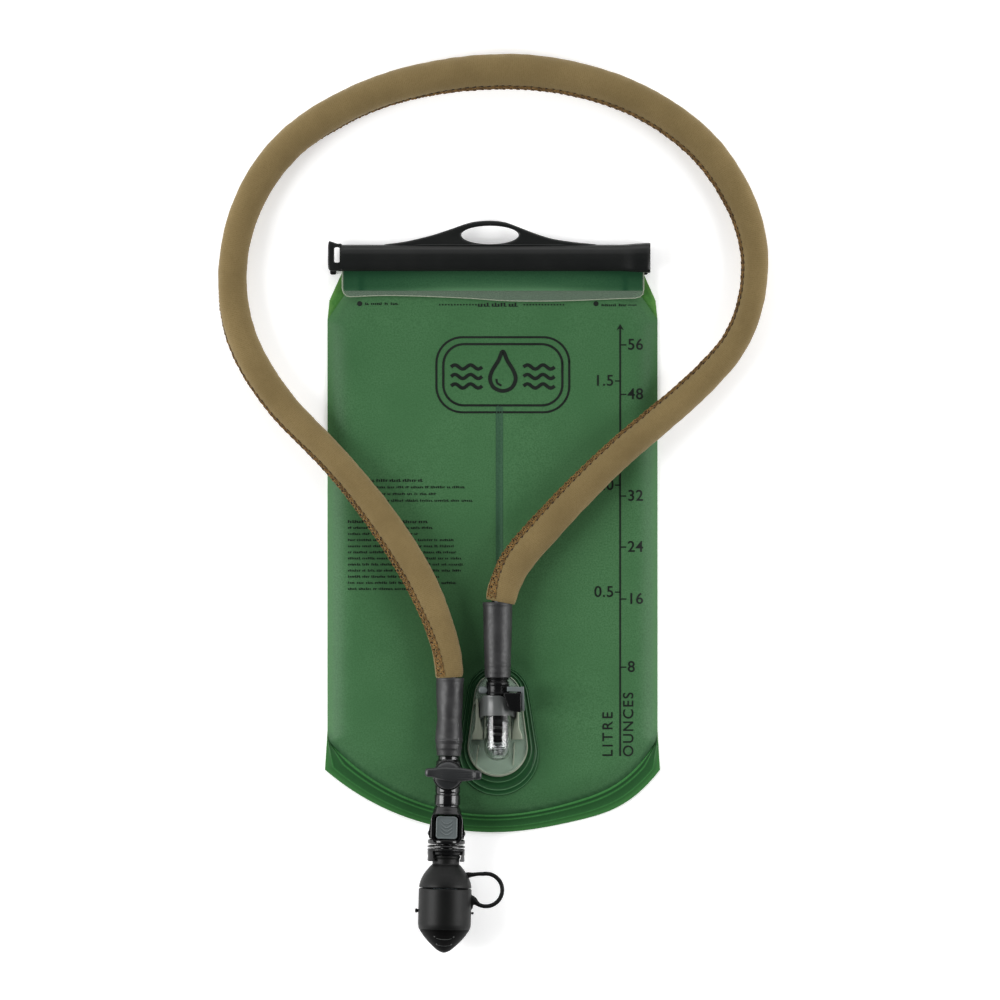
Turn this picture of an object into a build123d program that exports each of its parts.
"""A two-litre hydration bladder with a slide closure, an insulated drinking hose and a bite valve.

The bladder lies flat on its back. +Z points up out of its front, +Y points to its mouth.
The origin is under the middle of the bladder without its hose. Lengths are in millimetres.
"""
from build123d import *
from math import pi, radians, tan
import os

os.makedirs("parts", exist_ok=True)

# ---------------------------------------------------------------- driving dimensions
FILM = 0.6                  # thickness of the welded film
HALF_WIDTH = 95.7           # half of the bladder's flat width
SHOULDER_Y = 120            # where the straight sides end below the mouth
SIDE_END_Y = -120           # where the straight sides end above the bottom weld
CORNER_X, CORNER_Y = 97.2, -141
BOTTOM_Y = -177.3           # lowest point of the bladder
SEAM_Y = -167.5             # lowest point of the front film's bottom seam
SEAM_X, SEAM_SIDE_Y = 95, -125
MOUTH_HALF = 87.4           # half of the mouth's width inside the closure
MOUTH_Y = 155.6             # where both films end at the rail
RAMP = (128, 146)           # the films rise from the floor to the closure between these
RAMP_RISE = 4.4
PILLOW_Z = 7.4              # height of the filled-out front film
PILLOW_TOP_Y = 116

BAR_LEFT, BAR_RIGHT = -95.2, 91.4     # ends of the closure bar
BAR_LOW, BAR_HIGH = 148, 163.4
BAR_DEPTH = 12
BAR_WALL = 2
HANDLE_Y = 177.3            # top of the handle
HANDLE_X = -1.5             # middle of the handle
HANDLE_HOLE = (33, 10.7)
HANDLE_DEPTH = 5

PORT_X = 3                  # the outlet's axis runs along Y at this X and Z
PORT_Z = 17
FLANGE_TOP = PILLOW_Z + 1.2
HOUSING_Y = -97.7           # mouth of the outlet's housing
CAPSULE_Y = -109            # start of the clear capsule
CAPSULE_END = -127.4        # centre of the capsule's round end
CAPSULE_R, CAPSULE_BORE = 8, 6.7
INLET_Y = -128.5            # the hole through which water enters the outlet
INLET_R = 4
STRAINER_HOLE_R = 0.55      # small holes in the film under the inlet keep grit out of the hose

HOSE_D, HOSE_BORE = 10, 6.4
SLEEVE_D, SLEEVE_BORE = 18, 10.8
SLEEVE_START_Y = -43.6      # the sleeve butts against the outlet collar here
PLUG_TAIL_Y = -88           # end of the hose at the plug

FLOOR_Z = SLEEVE_D / 2 + 0.2          # height of the hose's middle where it lies on the floor
VALVE_Z = 16.7              # height of the drinking valve's axis
VALVE_X, VALVE_Y = -24.4, -87.3       # upper end of the valve's collar
LEAN = (-83 / 3445, -3444 / 3445)     # direction of the drinking valve's axis, of length one
HOSE_END_S = 17             # how far the hose reaches into the valve's collar

BORE_R = 2.4                # the water way through the valve and plug
RUN_SHARE = 0.45            # share of a run that a bend may use

# The hose's route, from the outlet's plug round over the mouth to the drinking valve.
HOSE_ROUTE = [
    (PORT_X, PLUG_TAIL_Y, PORT_Z),
    (PORT_X, -64.5, PORT_Z),
    (3.9, -42, 17),
    (12, -21.5, 17),
    (29.5, -2, 17),
    (51, 21, 17),
    (76, 45, 17),
    (101, 68, 13.6),
    (121, 87, 10),
    (140, 109, FLOOR_Z),
    (151, 137, FLOOR_Z),
    (153, 168, FLOOR_Z),
    (141.5, 199, FLOOR_Z),
    (118, 226.5, FLOOR_Z),
    (80, 250, FLOOR_Z),
    (30, 265, FLOOR_Z),
    (-22, 264, FLOOR_Z),
    (-73, 250, FLOOR_Z),
    (-118, 224, FLOOR_Z),
    (-144, 188, FLOOR_Z),
    (-153, 147, FLOOR_Z),
    (-147, 108, FLOOR_Z),
    (-125, 72, 10),
    (-98, 44, 13.6),
    (-77.5, 18.5, 17),
    (-60, -7.5, 17),
    (-44, -34, 17),
    (-31.5, -60.5, 16.9),
    (-24.28, -82.3, VALVE_Z),
    (-24.81, -104.29, VALVE_Z),
]


def save(part, name):
    """Labels a finished piece and writes it under its own name."""
    part.label = name
    export_step(part, f"parts/{name}.step")


# ---------------------------------------------------------------- frames and small helpers
# Seen along the valve's axis, X is across the valve, Y is height and Z runs to the mouthpiece.
VALVE = Plane(origin=(VALVE_X, VALVE_Y, VALVE_Z), x_dir=(-LEAN[1], LEAN[0], 0), z_dir=(*LEAN, 0))
# Lengthways section of the valve: X is the distance from the axis and Y runs to the mouthpiece.
VALVE_SECTION = Plane(origin=VALVE.origin, x_dir=VALVE.x_dir, z_dir=(0, 0, -1))
# The outlet's section: X is the distance from its axis and Y is the bladder's own Y.
PORT_SECTION = Plane(origin=(PORT_X, 0, PORT_Z), x_dir=(1, 0, 0), z_dir=(0, 0, 1))


def turned(section, outline):
    """A solid turned about the section's Y axis from an outline of (radius, place) corners."""
    with BuildPart() as turning:
        with BuildSketch(section):
            with BuildLine():
                Polyline(*outline, close=True)
            make_face()
        revolve(axis=Axis(section.origin, section.y_dir))
    return turning.part


def o_ring(section, middle_radius, wire_radius, place):
    """A rubber ring of round wire about the section's Y axis."""
    with BuildPart() as ring:
        with BuildSketch(section):
            with Locations((middle_radius, place)):
                Circle(wire_radius)
        revolve(axis=Axis(section.origin, section.y_dir))
    return ring.part


def valve_slice(start):
    """The plane across the valve's axis at a distance from its upper end."""
    return VALVE.offset(start)


def valve_top(height, place):
    """A level plane over the valve, centred at a place along its axis and a height above it."""
    centre = VALVE.from_local_coords(Vector(0, 0, place))
    return Plane(origin=(centre.X, centre.Y, VALVE_Z + height), x_dir=VALVE.x_dir, z_dir=(0, 0, 1))


# ---------------------------------------------------------------- the bladder's films
def body_outline(corner, bottom_y, shoulder_x, shoulder_y):
    """Outline of a film: mouth, sloping shoulders, straight sides and a bowed bottom."""
    with BuildSketch() as outline:
        with BuildLine():
            right = Polyline(
                (0, MOUTH_Y),
                (MOUTH_HALF, MOUTH_Y),
                (MOUTH_HALF, RAMP[1]),
                (shoulder_x, shoulder_y),
                (HALF_WIDTH, SHOULDER_Y),
                (HALF_WIDTH, SIDE_END_Y),
                corner,
            )
            ThreePointArc(right @ 1, (0, bottom_y), (-corner[0], corner[1]))
            mirror(right, about=Plane.YZ)
        make_face()
    return outline.sketch


def film_profile(low):
    """Side view of a film that lies flat and then rises into the closure."""
    with BuildSketch() as profile:
        with BuildLine():
            Polyline(
                (BOTTOM_Y - 1, low),
                (RAMP[0], low),
                (RAMP[1], low + RAMP_RISE),
                (MOUTH_Y, low + RAMP_RISE),
                (MOUTH_Y, low + RAMP_RISE + FILM),
                (RAMP[1], low + RAMP_RISE + FILM),
                (RAMP[0], low + FILM),
                (BOTTOM_Y - 1, low + FILM),
                close=True,
            )
        make_face()
    return profile.sketch


def pillow_outline(side_inset, end_inset):
    """The filled-out part of the front film, set in from its welded edges."""
    x = SEAM_X - side_inset
    with BuildSketch() as outline:
        with BuildLine():
            top = Line((x, PILLOW_TOP_Y - end_inset), (-x, PILLOW_TOP_Y - end_inset))
            left = Line(top @ 1, (-x, SEAM_SIDE_Y + end_inset))
            arc = ThreePointArc(left @ 1, (0, SEAM_Y + end_inset), (x, SEAM_SIDE_Y + end_inset))
            Line(arc @ 1, top @ 0)
        make_face()
    return outline.sketch


BACK_OUTLINE = ((CORNER_X, CORNER_Y), BOTTOM_Y, 94.6, 131)
FRONT_OUTLINE = ((SEAM_X, SEAM_SIDE_Y), SEAM_Y, 85, 135)
PILLOW_STEPS = [(FILM * 2, 5, 4), (5, 13, 7), (PILLOW_Z, 24, 10.5)]   # height, side and end insets

with BuildPart() as back_panel:
    with BuildSketch(Plane.YZ):
        add(film_profile(0))
    extrude(amount=CORNER_X + 1, both=True)
    with BuildSketch():
        add(body_outline(*BACK_OUTLINE))
    extrude(amount=BAR_DEPTH, mode=Mode.INTERSECT)
save(back_panel.part, "back_panel")

with BuildPart() as front_panel:
    with BuildSketch(Plane.YZ):
        add(film_profile(FILM))
    extrude(amount=CORNER_X + 1, both=True)
    with BuildSketch():
        add(body_outline(*FRONT_OUTLINE))
    extrude(amount=BAR_DEPTH, mode=Mode.INTERSECT)
    for height, side, end in PILLOW_STEPS:
        with BuildSketch(Plane.XY.offset(height)):
            add(pillow_outline(side, end))
    loft(ruled=True)
    for height, side, end in PILLOW_STEPS:
        with BuildSketch(Plane.XY.offset(height - FILM)):
            add(pillow_outline(side + FILM, end + FILM))
    loft(ruled=True, mode=Mode.SUBTRACT)
    with BuildSketch(Plane.XY.offset(PILLOW_Z - FILM - 1)):
        with Locations((PORT_X, INLET_Y)):
            Circle(STRAINER_HOLE_R)
            with PolarLocations(INLET_R / 3, 5):
                Circle(STRAINER_HOLE_R)
            with PolarLocations(INLET_R * 2 / 3, 10):
                Circle(STRAINER_HOLE_R)
    extrude(amount=FILM + 2, mode=Mode.SUBTRACT)
save(front_panel.part, "front_panel")

with BuildPart() as bottom_gusset:
    with BuildSketch(Plane.XY.offset(FILM)):
        add(body_outline(*BACK_OUTLINE))
        with Locations((0, (SIDE_END_Y + HANDLE_Y) / 2)):
            Rectangle(4 * HALF_WIDTH, HANDLE_Y - SIDE_END_Y + 4, mode=Mode.SUBTRACT)
    extrude(amount=FILM)
    with BuildSketch(Plane.XY.offset(FILM)):
        add(body_outline(*FRONT_OUTLINE))
    extrude(amount=FILM, mode=Mode.SUBTRACT)
save(bottom_gusset.part, "bottom_gusset")

# A web that ties the two films together down the middle, so that the full bladder stays flat.
BAFFLE_WIDTH, BAFFLE_LOW, BAFFLE_HIGH = 4.2, -43, 70.5
with BuildPart() as centre_baffle:
    with BuildSketch(Plane.XY.offset(FILM)):
        with Locations((PORT_X + 1, (BAFFLE_LOW + BAFFLE_HIGH) / 2)):
            SlotOverall(BAFFLE_HIGH - BAFFLE_LOW, BAFFLE_WIDTH, rotation=90)
    extrude(amount=PILLOW_Z - 2 * FILM)
save(centre_baffle.part, "centre_baffle")

# ---------------------------------------------------------------- mouth and slide closure
RAIL_LOW = 2.4              # the rail fills the bar's hollow between these heights
RAIL_HIGH = BAR_DEPTH - RAIL_LOW
SLOT = (3.8, 8.4)           # the bar's long slot, through which the films pass
FLAP_LOW = RAMP_RISE + 2 * FILM + 0.8
FLAP_END_Y = 137
RIM_END_Y = 131
RIM_CORNER = 5

with BuildPart() as closure_rail:
    with BuildSketch(Plane.YZ):
        with Locations((MOUTH_Y + 2.4, BAR_DEPTH / 2)):
            RectangleRounded(4.8, RAIL_HIGH - RAIL_LOW, 1.2)
    extrude(amount=MOUTH_HALF, both=True)
save(closure_rail.part, "closure_rail")

with BuildPart() as mouth_flap:
    with BuildSketch(Plane.XY.offset(FLAP_LOW)):
        with Locations((0.5, (FLAP_END_Y + MOUTH_Y) / 2)):
            Rectangle(2 * MOUTH_HALF - 1, MOUTH_Y - FLAP_END_Y)
    extrude(amount=2 * FILM)
save(mouth_flap.part, "mouth_flap")

with BuildPart() as mouth_rim:
    with BuildSketch(Plane.XY.offset(FLAP_LOW)):
        with Locations((0.5, (FLAP_END_Y + RIM_END_Y) / 2)):
            Rectangle(2 * MOUTH_HALF - 1, FLAP_END_Y - RIM_END_Y)
    extrude(amount=2 * FILM)
    lower_corners = mouth_rim.edges().filter_by(Axis.Z).group_by(Axis.Y)[0]
    fillet(lower_corners, radius=RIM_CORNER)
save(mouth_rim.part, "mouth_rim")

TAB_RIGHT = -88.1           # the bar's end tab reaches from its left end to here
TAB_SLOT = (3.1, 8.4)
HANDLE_HALF = 63            # half the length of the handle's hump
with BuildPart() as closure_slider:
    with BuildSketch(Plane.YZ.offset(BAR_LEFT)):
        with Locations(((BAR_LOW + BAR_HIGH) / 2, BAR_DEPTH / 2)):
            RectangleRounded(BAR_HIGH - BAR_LOW, BAR_DEPTH, 2.5)
    extrude(amount=BAR_RIGHT - BAR_LEFT)
    with BuildSketch(Plane.XY.offset((BAR_DEPTH - HANDLE_DEPTH) / 2)):
        with BuildLine():
            hump = Spline(
                (HANDLE_X - HANDLE_HALF, BAR_HIGH - 0.6),
                (HANDLE_X - 38, BAR_HIGH + 2.8),
                (HANDLE_X - 18.5, BAR_HIGH + 9.8),
                (HANDLE_X, HANDLE_Y),
                (HANDLE_X + 19.5, BAR_HIGH + 9.2),
                (HANDLE_X + 40, BAR_HIGH + 2.8),
                (HANDLE_X + HANDLE_HALF, BAR_HIGH - 0.6),
            )
            Polyline(
                hump @ 1,
                (HANDLE_X + HANDLE_HALF, BAR_HIGH - BAR_WALL / 2 - 0.5),
                (HANDLE_X - HANDLE_HALF, BAR_HIGH - BAR_WALL / 2 - 0.5),
                hump @ 0,
            )
        make_face()
    extrude(amount=HANDLE_DEPTH)
    with BuildSketch(Plane.XY):
        with Locations((HANDLE_X - 1, BAR_HIGH + 0.5 + HANDLE_HOLE[1] / 2)):
            Ellipse(HANDLE_HOLE[0] / 2, HANDLE_HOLE[1] / 2)
        with Locations(((TAB_RIGHT + BAR_LEFT) / 2 + 1.6, (BAR_LOW + BAR_HIGH) / 2 + 1)):
            RectangleRounded(*TAB_SLOT, 1)
    extrude(amount=BAR_DEPTH, mode=Mode.SUBTRACT)
    with BuildSketch(Plane.YZ.offset(TAB_RIGHT)):
        with BuildLine():
            Polyline(
                (BAR_LOW - 1, SLOT[0]),
                (BAR_LOW + 3, SLOT[0]),
                (BAR_LOW + 3, BAR_WALL),
                (BAR_HIGH - BAR_WALL, BAR_WALL),
                (BAR_HIGH - BAR_WALL, BAR_DEPTH - BAR_WALL),
                (BAR_LOW + 3, BAR_DEPTH - BAR_WALL),
                (BAR_LOW + 3, SLOT[1]),
                (BAR_LOW - 1, SLOT[1]),
                close=True,
            )
        make_face()
    extrude(amount=BAR_RIGHT - TAB_RIGHT + 1, mode=Mode.SUBTRACT)
save(closure_slider.part, "closure_slider")

# ---------------------------------------------------------------- outlet on the front film
def egg(upper_y, upper_radius, lower_y, lower_radius):
    """An egg-shaped outline round two circles on the outlet's axis."""
    with BuildSketch() as outline:
        with Locations((PORT_X, upper_y)):
            Circle(upper_radius)
        with Locations((PORT_X, lower_y)):
            Circle(lower_radius)
        make_hull()
    return outline.sketch


FLANGE_EGG = (-98.5, 13.5, -127, 18)
WELD_EGG = (-98.8, 18.4, -131.9, 23.8)
WELD_HEIGHT = 0.8

with BuildPart() as port_weld_ring:
    with BuildSketch(Plane.XY.offset(PILLOW_Z)):
        add(egg(*WELD_EGG))
        add(egg(*FLANGE_EGG), mode=Mode.SUBTRACT)
    extrude(amount=WELD_HEIGHT)
save(port_weld_ring.part, "port_weld_ring")

with BuildPart() as port_flange:
    with BuildSketch(Plane.XY.offset(PILLOW_Z)):
        add(egg(*FLANGE_EGG))
    extrude(amount=FLANGE_TOP - PILLOW_Z)
    chamfer(port_flange.edges().group_by(Axis.Z)[-1], length=0.5)
    with BuildSketch(Plane.XY.offset(PILLOW_Z)):
        with Locations((PORT_X, INLET_Y)):
            Circle(INLET_R)
    extrude(amount=FLANGE_TOP - PILLOW_Z, mode=Mode.SUBTRACT)
save(port_flange.part, "port_flange")

HOUSING_R = 8.4
HOUSING_BORE = 7.1
LEG_INNER, LEG_OUTER, LEG_TOP, LEG_END_Y = 9, 13.3, 14.5, -123.8
CROSS_BAR = 2               # thickness of the bar that joins the housing's two legs
with BuildPart() as port_housing:
    with BuildSketch(Plane.XZ.offset(-HOUSING_Y)):
        with Locations((PORT_X, PORT_Z)):
            Circle(HOUSING_R)
        with Locations((PORT_X, (FLANGE_TOP + PORT_Z) / 2)):
            Rectangle(2 * HOUSING_R, PORT_Z - FLANGE_TOP)
    extrude(amount=HOUSING_Y - CAPSULE_Y)
    with BuildSketch(Plane.XY.offset(FLANGE_TOP)):
        for side in (-1, 1):
            with Locations((PORT_X + side * (LEG_INNER + LEG_OUTER) / 2, (LEG_END_Y + CAPSULE_Y) / 2)):
                Rectangle(LEG_OUTER - LEG_INNER, CAPSULE_Y - LEG_END_Y)
        with Locations((PORT_X, CAPSULE_Y + CROSS_BAR / 2)):
            Rectangle(2 * LEG_OUTER, CROSS_BAR)
    extrude(amount=LEG_TOP - FLANGE_TOP)
    with BuildSketch(Plane.XZ.offset(-HOUSING_Y - 1)):
        with Locations((PORT_X, PORT_Z)):
            Circle(HOUSING_BORE)
    extrude(amount=HOUSING_Y - CAPSULE_Y + 2, mode=Mode.SUBTRACT)
save(port_housing.part, "port_housing")

FOOT_BEYOND = 3.5           # the capsule's foot reaches this far past the inlet
with BuildPart() as port_capsule:
    with BuildSketch(PORT_SECTION):
        with BuildLine():
            side_line = Line((CAPSULE_R, CAPSULE_Y), (CAPSULE_R, CAPSULE_END))
            dome = RadiusArc(side_line @ 1, (0, CAPSULE_END - CAPSULE_R), CAPSULE_R)
            Polyline(dome @ 1, (0, CAPSULE_Y), side_line @ 0)
        make_face()
    revolve(axis=Axis(PORT_SECTION.origin, PORT_SECTION.y_dir))
    with BuildSketch(Plane.XY.offset(FLANGE_TOP)):
        with Locations((PORT_X, (CAPSULE_Y + INLET_Y - FOOT_BEYOND) / 2)):
            Rectangle(2 * CAPSULE_R, CAPSULE_Y - INLET_Y + FOOT_BEYOND)
    extrude(amount=PORT_Z - FLANGE_TOP - 2)
    with BuildSketch(PORT_SECTION):
        with BuildLine():
            bore_line = Line((CAPSULE_BORE, CAPSULE_Y), (CAPSULE_BORE, CAPSULE_END))
            inner_dome = RadiusArc(bore_line @ 1, (0, CAPSULE_END - CAPSULE_BORE), CAPSULE_BORE)
            Polyline(inner_dome @ 1, (0, CAPSULE_Y), bore_line @ 0)
        make_face()
    revolve(axis=Axis(PORT_SECTION.origin, PORT_SECTION.y_dir), mode=Mode.SUBTRACT)
    with BuildSketch(Plane.XY.offset(FLANGE_TOP)):
        with Locations((PORT_X, INLET_Y)):
            Circle(INLET_R - 1)
    extrude(amount=PORT_Z - FLANGE_TOP - 3, mode=Mode.SUBTRACT)
save(port_capsule.part, "port_capsule")

# The latch lies crossways in front of the housing and is pressed from its right-hand end.
LATCH_FRONT, LATCH_BACK = -92.6, -95.6
LATCH_DEEP = LATCH_FRONT - LATCH_BACK
PLATE_LOW, PLATE_HIGH, PLATE_WIDTH = 9, 19.4, 21.6
POST_X, POST_TOP = (13.5, 15.3), 25.8       # the post that carries the finger tab
BARREL_R = 6.7
WINDOW_X = PORT_X + 1       # the window is off centre, so that the latch can travel left
WINDOW_WIDTH, WINDOW_HEIGHT = 2 * BARREL_R + 2.6, 2 * BARREL_R + 0.6
TAB_X = (8.4, 18.1)         # the grey finger tab, from over the barrel to the outer end
TAB_Z = PORT_Z + BARREL_R + 0.6
TAB_THICK = 1.8
STRIP_X, STRIP_LOW, STRIP_END_Y = 16.5, 13, -106.4      # the strip down the tab's outer end
with BuildPart() as port_latch_plate:
    with BuildSketch(Plane.XZ.offset(-LATCH_FRONT)):
        with Locations((PORT_X, (PLATE_LOW + PLATE_HIGH) / 2)):
            Rectangle(PLATE_WIDTH, PLATE_HIGH - PLATE_LOW)
        with Locations((sum(POST_X) / 2, (PLATE_LOW + POST_TOP) / 2)):
            Rectangle(POST_X[1] - POST_X[0], POST_TOP - PLATE_LOW)
        with Locations((sum(TAB_X) / 2, TAB_Z + TAB_THICK / 2)):
            Rectangle(TAB_X[1] - TAB_X[0], TAB_THICK)
        with Locations((WINDOW_X, PORT_Z)):
            SlotOverall(WINDOW_WIDTH, WINDOW_HEIGHT, mode=Mode.SUBTRACT)
        with Locations((WINDOW_X, PORT_Z + 3.4)):
            Rectangle(WINDOW_WIDTH, 6.8, mode=Mode.SUBTRACT)
    extrude(amount=LATCH_DEEP)
    with BuildSketch(Plane.XY.offset(STRIP_LOW)):
        with Locations(((STRIP_X + TAB_X[1]) / 2, (LATCH_FRONT + STRIP_END_Y) / 2)):
            Rectangle(TAB_X[1] - STRIP_X, LATCH_FRONT - STRIP_END_Y)
        with Locations(((POST_X[0] + TAB_X[1]) / 2, (LATCH_FRONT + LATCH_BACK) / 2)):
            Rectangle(TAB_X[1] - POST_X[0], LATCH_DEEP)
    extrude(amount=TAB_Z + TAB_THICK - STRIP_LOW)
save(port_latch_plate.part, "port_latch_plate")

BUTTON_LEFT, BUTTON_INNER, BUTTON_RIGHT = 7.4, 14.05, 16.45
BUTTON_Y, BUTTON_LENGTH = -101.5, 11
BUTTON_TOP = 28
BUTTON_UNDER = PORT_Z + HOUSING_R + 0.4     # its top runs just over the housing
with BuildPart() as port_latch_button:
    with BuildSketch(Plane.XY.offset(STRIP_LOW)):
        with Locations(((BUTTON_INNER + BUTTON_RIGHT) / 2, BUTTON_Y)):
            Rectangle(BUTTON_RIGHT - BUTTON_INNER, BUTTON_LENGTH)
    extrude(amount=BUTTON_TOP - STRIP_LOW)
    with BuildSketch(Plane.XY.offset(BUTTON_UNDER)):
        with Locations(((BUTTON_LEFT + BUTTON_RIGHT) / 2, BUTTON_Y)):
            Rectangle(BUTTON_RIGHT - BUTTON_LEFT, BUTTON_LENGTH)
    extrude(amount=BUTTON_TOP - BUTTON_UNDER)
save(port_latch_button.part, "port_latch_button")

# A leaf between the housing and the button brings the latch back.
LEAF = 0.35                 # thickness of the leaf springs
LEAF_UPPER_Y, LEAF_CREST_Y, LEAF_LOWER_Y = -97.9, -102, -106.1
LEAF_ROOT = PORT_X + HOUSING_R
with BuildPart() as port_latch_spring:
    with BuildSketch(Plane.XY.offset(STRIP_LOW + 1)):
        with BuildLine():
            Polyline(
                (LEAF_ROOT, LEAF_UPPER_Y),
                (LEAF_ROOT + LEAF, LEAF_UPPER_Y),
                (BUTTON_INNER, LEAF_CREST_Y),
                (LEAF_ROOT + LEAF, LEAF_LOWER_Y),
                (LEAF_ROOT, LEAF_LOWER_Y),
                (BUTTON_INNER - LEAF, LEAF_CREST_Y),
                close=True,
            )
        make_face()
    extrude(amount=3)
save(port_latch_spring.part, "port_latch_spring")

POPPET_Y = -124.9
with BuildPart() as port_poppet:
    add(
        turned(
            PORT_SECTION,
            [(0, POPPET_Y), (5.6, POPPET_Y), (5.6, POPPET_Y - 1), (1.5, POPPET_Y - 1.6),
             (1.5, POPPET_Y - 4), (0, POPPET_Y - 4)],
        )
    )
save(port_poppet.part, "port_poppet")

SPRING_START, SPRING_END, SPRING_R, SPRING_WIRE = -127, -132, 2.9, 0.35
with BuildPart() as port_spring:
    with BuildLine():
        coil = Helix(pitch=1.25, height=SPRING_START - SPRING_END, radius=SPRING_R)
    with BuildSketch(Plane(origin=coil @ 0, z_dir=coil % 0)):
        Circle(SPRING_WIRE)
    sweep(path=coil, is_frenet=True)
save(port_spring.part.moved(Location((PORT_X, SPRING_START, PORT_Z), (90, 0, 0))), "port_spring")

# ---------------------------------------------------------------- plug on the hose
GROOVE_YS = (-116.3, -120.2)
with BuildPart() as hose_plug:
    add(
        turned(
            PORT_SECTION,
            [
                (BORE_R, -74), (3.1, -74), (3.1, PLUG_TAIL_Y), (5.4, PLUG_TAIL_Y), (5.4, -89.6),
                (BARREL_R, -89.6), (BARREL_R, -97.2), (6.5, -97.2), (6.5, -106),
                (5.5, -107), (5.5, -115.3), (4.6, -115.3), (4.6, -117.3), (5.5, -117.3),
                (5.5, -119.2), (4.6, -119.2), (4.6, -121.2), (5.5, -121.2), (5.5, -123.6),
                (4.8, -124.4), (BORE_R, -124.4),
            ],
        )
    )
save(hose_plug.part, "hose_plug")

for number, groove_y in enumerate(GROOVE_YS, start=1):
    save(o_ring(PORT_SECTION, 5.5, 0.85, groove_y), f"plug_o_ring_{number}")

# ---------------------------------------------------------------- hose, sleeve and collars
def bend_radii(points):
    """The largest radius that each corner's two runs allow."""
    corners = [Vector(*point) for point in points]
    radii = []
    for before, here, after in zip(corners, corners[1:], corners[2:]):
        half_turn = radians((here - before).get_angle(after - here)) / 2
        shorter = min((here - before).length, (after - here).length)
        radii.append(RUN_SHARE * shorter / tan(half_turn))
    return radii


def tube_along(points, outer, bore):
    """A plain tube along the route, straight runs joined by tangent arcs."""
    with BuildPart() as tube:
        with BuildLine():
            path = FilletPolyline(*points, radius=bend_radii(points))
        with BuildSketch(Plane(origin=path @ 0, z_dir=path % 0)):
            Circle(outer / 2)
            Circle(bore / 2, mode=Mode.SUBTRACT)
        sweep(path=path)
    return tube.part, path.length


hose_tube, hose_length = tube_along(HOSE_ROUTE, HOSE_D, HOSE_BORE)
save(hose_tube, "hose_tube")

# The sleeve covers the hose between the two collars, so its ends are trimmed off there.
with BuildPart() as hose_sleeve:
    add(tube_along(HOSE_ROUTE, SLEEVE_D, SLEEVE_BORE)[0])
    with BuildSketch(Plane.XY):
        with Locations((PORT_X, SLEEVE_START_Y - 30)):
            Rectangle(2 * SLEEVE_D, 60)
    extrude(amount=3 * SLEEVE_D, mode=Mode.SUBTRACT)
    with BuildSketch(valve_slice(0)):
        Rectangle(2 * SLEEVE_D, 2 * SLEEVE_D)
    extrude(amount=30, mode=Mode.SUBTRACT)
save(hose_sleeve.part, "hose_sleeve")

COLLAR_BORE = 5.7
with BuildPart() as port_collar:
    add(
        turned(
            PORT_SECTION,
            [(7.2, -43.6), (8.6, -43.6), (8.4, -60), (7.5, -78), (7.5, -87.4),
             (COLLAR_BORE, -87.4), (COLLAR_BORE, -62)],
        )
    )
save(port_collar.part, "port_collar")

COLLAR_END = 45.4
with BuildPart() as valve_collar:
    add(
        turned(
            VALVE_SECTION,
            [
                (COLLAR_BORE, 0), (7.9, 0), (7.9, 21), (8.4, 24), (8.4, 28), (7.7, 33),
                (7.9, 37), (7, COLLAR_END), (COLLAR_BORE, COLLAR_END),
            ],
        )
    )
save(valve_collar.part, "valve_collar")

# ---------------------------------------------------------------- shut-off valve
HUB_S = 56.7                # middle of the shut-off's hub along the valve's axis
HUB_R = 8.1
HUB_TOP = 8.2
SPOOL_R, SPOOL_BORE = 5, 5.05
with BuildPart() as shutoff_body:
    add(
        turned(
            VALVE_SECTION,
            [
                (BORE_R, 10), (3.1, 10), (3.1, HOSE_END_S), (5.4, HOSE_END_S),
                (5.4, COLLAR_END), (6.6, COLLAR_END), (6.6, 48.5), (7, 49), (7, 67.5),
                (7.4, 68), (7.4, 70.8), (6.9, 71.2), (6.9, 73), (7.4, 73.4), (7.4, 76),
                (7, 76.4), (7, 79.8), (BORE_R, 79.8),
            ],
        )
    )
    with BuildSketch(valve_top(-7.4, HUB_S)):
        Circle(HUB_R)
    extrude(amount=HUB_TOP + 7.4)
    with BuildSketch(valve_top(-5.6, HUB_S)):
        Circle(SPOOL_BORE)
    extrude(amount=HUB_TOP + 6, mode=Mode.SUBTRACT)
    with BuildSketch(valve_slice(12)):
        Circle(BORE_R)
    extrude(amount=30, mode=Mode.SUBTRACT)
save(shutoff_body.part, "shutoff_body")

SPOOL_GROOVE = 5            # height of the spool's seal groove above the axis
with BuildPart() as shutoff_spool:
    with BuildSketch(valve_top(-5.5, HUB_S)):
        Circle(SPOOL_R)
    extrude(amount=HUB_TOP + 0.5 + 5.5)
    with BuildSketch(valve_top(SPOOL_GROOVE - 0.7, HUB_S)):
        Circle(SPOOL_R)
        Circle(SPOOL_R - 1.2, mode=Mode.SUBTRACT)
    extrude(amount=1.4, mode=Mode.SUBTRACT)
    cross_way = Plane(origin=VALVE.from_local_coords(Vector(-SPOOL_R - 1, 0, HUB_S)), z_dir=VALVE.x_dir)
    with BuildSketch(cross_way):
        Circle(BORE_R)
    extrude(amount=2 * SPOOL_R + 2, mode=Mode.SUBTRACT)
save(shutoff_spool.part, "shutoff_spool")

spool_section = Plane(origin=valve_top(0, HUB_S).origin, x_dir=(1, 0, 0), z_dir=(0, -1, 0))
save(o_ring(spool_section, SPOOL_R - 0.62, 0.58, SPOOL_GROOVE), "spool_o_ring")

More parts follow.
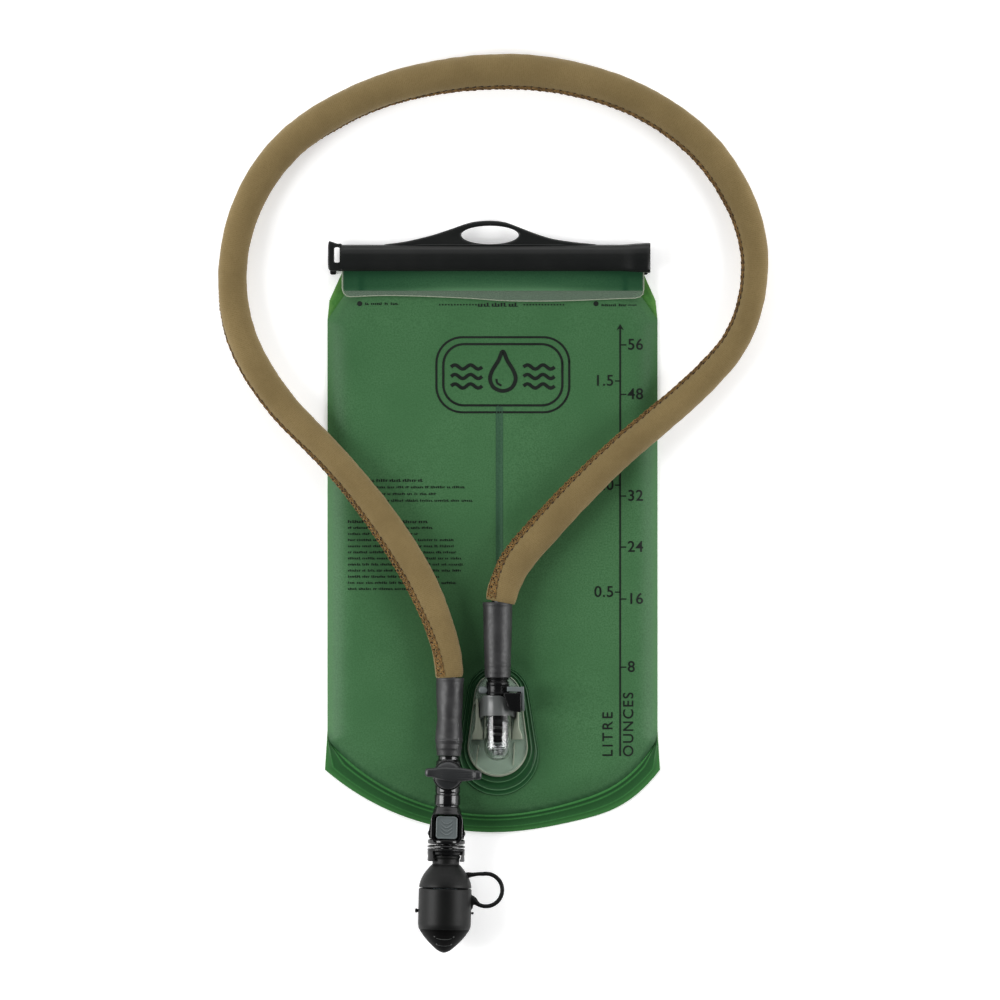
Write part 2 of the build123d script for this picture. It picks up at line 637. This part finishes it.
WING_LEFT, WING_RIGHT = -11.5, 17.9       # the lever's wings are of unequal length
WING_END = 1.6              # how far their round ends reach beyond that
with BuildPart() as shutoff_lever:
    with BuildSketch(valve_top(HUB_TOP + 0.5, HUB_S)):
        Circle(HUB_R)
    extrude(amount=2.6)
    with BuildSketch(valve_top(HUB_TOP + 0.5, HUB_S)):
        with BuildLine():
            wing_edge = Spline((WING_LEFT, 2.4), (-7, 3), (0, 4.6), (9.5, 3), (WING_RIGHT, 2.4))
            lower_edge = Spline((WING_RIGHT, -2.4), (9.5, -3), (0, -4.6), (-7, -3), (WING_LEFT, -2.4))
            ThreePointArc(wing_edge @ 1, (WING_RIGHT + WING_END, 0), lower_edge @ 0)
            ThreePointArc(lower_edge @ 1, (WING_LEFT - WING_END, 0), wing_edge @ 0)
        make_face()
    extrude(amount=5.2)
    fillet(shutoff_lever.faces().sort_by(Axis.Z)[-1].edges(), radius=1.2)
save(shutoff_lever.part, "shutoff_lever")

# ---------------------------------------------------------------- quick coupler
FRAME_START, FRAME_END = 79.8, 98.8   # the coupler's socket along the valve's axis
FRAME_HALF = 9.3
FRAME_LOW, FRAME_HIGH = -8, 9.5
SOCKET_START, SOCKET_R = 84, 5.35
LUG_START, LUG_LENGTH = 89, 9
BUTTON_S = 86.7
BUTTON_SIZE = (12.6, 12.8)
WELL_FLOOR = 6.1
LEG_X = (5.6, 6.2)          # the latch's legs, either side of the plug
LEG_S = 89.4
with BuildPart() as coupler_socket:
    with BuildSketch(valve_slice(FRAME_START)):
        with Locations((0, (FRAME_LOW + FRAME_HIGH) / 2)):
            RectangleRounded(2 * FRAME_HALF, FRAME_HIGH - FRAME_LOW, 3)
    extrude(amount=FRAME_END - FRAME_START)
    with BuildSketch(valve_slice(LUG_START)):
        for side in (-1, 1):
            with Locations((side * (FRAME_HALF + 0.6), 0)):
                Rectangle(2, 7)
    extrude(amount=LUG_LENGTH)
    with BuildSketch(valve_slice(FRAME_START)):
        Circle(BORE_R)
    extrude(amount=FRAME_END - FRAME_START, mode=Mode.SUBTRACT)
    with BuildSketch(valve_slice(SOCKET_START)):
        Circle(SOCKET_R)
    extrude(amount=FRAME_END - SOCKET_START, mode=Mode.SUBTRACT)
    with BuildSketch(valve_top(WELL_FLOOR, BUTTON_S)):
        RectangleRounded(BUTTON_SIZE[0] + 0.8, BUTTON_SIZE[1] + 0.8, 1.6)
    extrude(amount=FRAME_HIGH, mode=Mode.SUBTRACT)
    with BuildSketch(valve_top(FRAME_LOW - 2, LEG_S)):
        for side in (-1, 1):
            with Locations((side * sum(LEG_X) / 2, 0)):
                Rectangle(LEG_X[1] - LEG_X[0] + 0.7, 3.2)
    extrude(amount=WELL_FLOOR - FRAME_LOW + 4, mode=Mode.SUBTRACT)
    with BuildSketch(valve_top(FRAME_LOW - 2, LEG_S)):
        Rectangle(2 * LEG_X[1], 3.2)
    extrude(amount=4.3, mode=Mode.SUBTRACT)
save(coupler_socket.part, "coupler_socket")

BUTTON_LOW = 8
with BuildPart() as coupler_button:
    with BuildSketch(valve_top(BUTTON_LOW, BUTTON_S)):
        RectangleRounded(*BUTTON_SIZE, 1.4)
    extrude(amount=3.4)
    fillet(coupler_button.faces().sort_by(Axis.Z)[-1].edges(), radius=0.8)
save(coupler_button.part, "coupler_button")

with BuildPart() as coupler_latch:
    with BuildSketch(valve_top(FRAME_LOW + 0.6, LEG_S)):
        for side in (-1, 1):
            with Locations((side * sum(LEG_X) / 2, 0)):
                Rectangle(LEG_X[1] - LEG_X[0], 2.4)
    extrude(amount=BUTTON_LOW - FRAME_LOW - 0.6)
    with BuildSketch(valve_top(FRAME_LOW + 0.6, LEG_S)):
        Rectangle(2 * LEG_X[1], 2.4)
    extrude(amount=1.3)
save(coupler_latch.part, "coupler_latch")

with BuildPart() as coupler_spring:
    with BuildSketch(valve_slice(82)):
        with BuildLine():
            Polyline(
                (-4, WELL_FLOOR), (-4, WELL_FLOOR + LEAF), (0, BUTTON_LOW), (4, WELL_FLOOR + LEAF),
                (4, WELL_FLOOR), (0, BUTTON_LOW - LEAF),
                close=True,
            )
        make_face()
    extrude(amount=5)
save(coupler_spring.part, "coupler_spring")

# ---------------------------------------------------------------- bite valve on its coupler plug
with BuildPart() as coupler_plug:
    add(
        turned(
            VALVE_SECTION,
            [
                (BORE_R, 84.5), (5.1, 84.5), (5.1, 92.2), (4.2, 92.2), (4.2, 94.2), (5.1, 94.2),
                (5.1, 99.2), (6.2, 99.2), (6.2, 106.5), (7.5, 106.5), (7.5, 109.2), (4.6, 109.2),
                (4.6, 119), (BORE_R, 119),
            ],
        )
    )
save(coupler_plug.part, "coupler_plug")
save(o_ring(VALVE_SECTION, 4.72, 0.5, 93.2), "coupler_o_ring")

SNAP_START = 99.2
with BuildPart() as snap_collar:
    add(
        turned(
            VALVE_SECTION,
            [
                (6.3, SNAP_START), (10.7, SNAP_START), (10.7, 101.4), (9.8, 102), (9.8, 105),
                (9.2, 106.4), (6.3, 106.4),
            ],
        )
    )
    with BuildSketch(valve_slice(SNAP_START)):
        with PolarLocations(9.8, 4):
            Rectangle(2.4, 3.4)
    extrude(amount=5, mode=Mode.SUBTRACT)
save(snap_collar.part, "snap_collar")

SEAM_S = 122.1              # joint between the cover's base and its cap
with BuildPart() as cover_base:
    add(
        turned(
            VALVE_SECTION,
            [
                (4.8, 109.5), (7.7, 109.5), (9.6, 111), (12, 113.6), (13.8, 116.6), (14.9, 119.6),
                (15.2, SEAM_S - 0.2), (11, SEAM_S - 0.2), (11, 116), (4.8, 116),
            ],
        )
    )
save(cover_base.part, "cover_base")

with BuildPart() as mouthpiece:
    add(
        turned(
            VALVE_SECTION,
            [
                (4.8, 116.2), (10.6, 116.2), (10.6, 120), (7, 122), (6.6, 136), (7, 141),
                (5.2, 144.5), (0, 145), (0, 143.6), (BORE_R, 143), (BORE_R, 119.4), (4.8, 119.4),
            ],
        )
    )
    with BuildSketch(valve_slice(142)):
        Rectangle(6, 0.3)
    extrude(amount=4, mode=Mode.SUBTRACT)
save(mouthpiece.part, "mouthpiece")

CAP_R = 15.3
with BuildPart() as cover_cap:
    with BuildSketch(VALVE_SECTION):
        with BuildLine():
            wall = Line((CAP_R, SEAM_S + 0.2), (CAP_R, 143.5))
            nose = Spline(wall @ 1, (11.4, 150.5), (6.5, 156), (0, 159), tangents=[(-0.25, 1), (-1, 0.1)])
            Polyline(nose @ 1, (0, 149), (9, 148), (13.1, 144), (13.1, SEAM_S + 0.2), wall @ 0)
        make_face()
    revolve(axis=Axis(VALVE_SECTION.origin, VALVE_SECTION.y_dir))
    with BuildSketch(valve_slice(134.6)):
        for side in (-1, 1):
            with Locations((side * (CAP_R + 0.3), 0)):
                Rectangle(2.4, 2)
    extrude(amount=1.6)
save(cover_cap.part, "cover_cap")

# The cap hangs on a rubber ring that is rooted in the cover's base.
RING_CENTRE = (-3.4, -210.7)
RING_OUTER, RING_INNER, RING_THICK = 10, 7.3, 3
ROOT_CENTRE = (-12.9, -203.4)
with BuildPart() as tether_ring:
    with BuildSketch(Plane.XY.offset(VALVE_Z - RING_THICK / 2)):
        with Locations(RING_CENTRE):
            Circle(RING_OUTER)
            Circle(RING_INNER, mode=Mode.SUBTRACT)
        with Locations((RING_CENTRE[0] - RING_OUTER + 2.4, RING_CENTRE[1] - 0.4)):
            Rectangle(8, 8.4, mode=Mode.SUBTRACT)
        with Locations(ROOT_CENTRE):
            Rectangle(4.6, 3)
    extrude(amount=RING_THICK)
    with BuildSketch(valve_slice(SEAM_S - 0.4)):
        Circle(CAP_R + 0.4)
    extrude(amount=24, mode=Mode.SUBTRACT)
    add(cover_base.part, mode=Mode.SUBTRACT)
save(tether_ring.part, "tether_ring")

# ---------------------------------------------------------------- lengths and bends, for the record
sleeve_section = pi / 4 * (SLEEVE_D**2 - SLEEVE_BORE**2)
hose_section = pi / 4 * (HOSE_D**2 - HOSE_BORE**2)
print("hose length", round(hose_length, 1), "by volume", round(hose_tube.volume / hose_section, 1))
print("sleeve length by volume", round(hose_sleeve.part.volume / sleeve_section, 1))
print("hose bend radii", [round(radius) for radius in bend_radii(HOSE_ROUTE)])
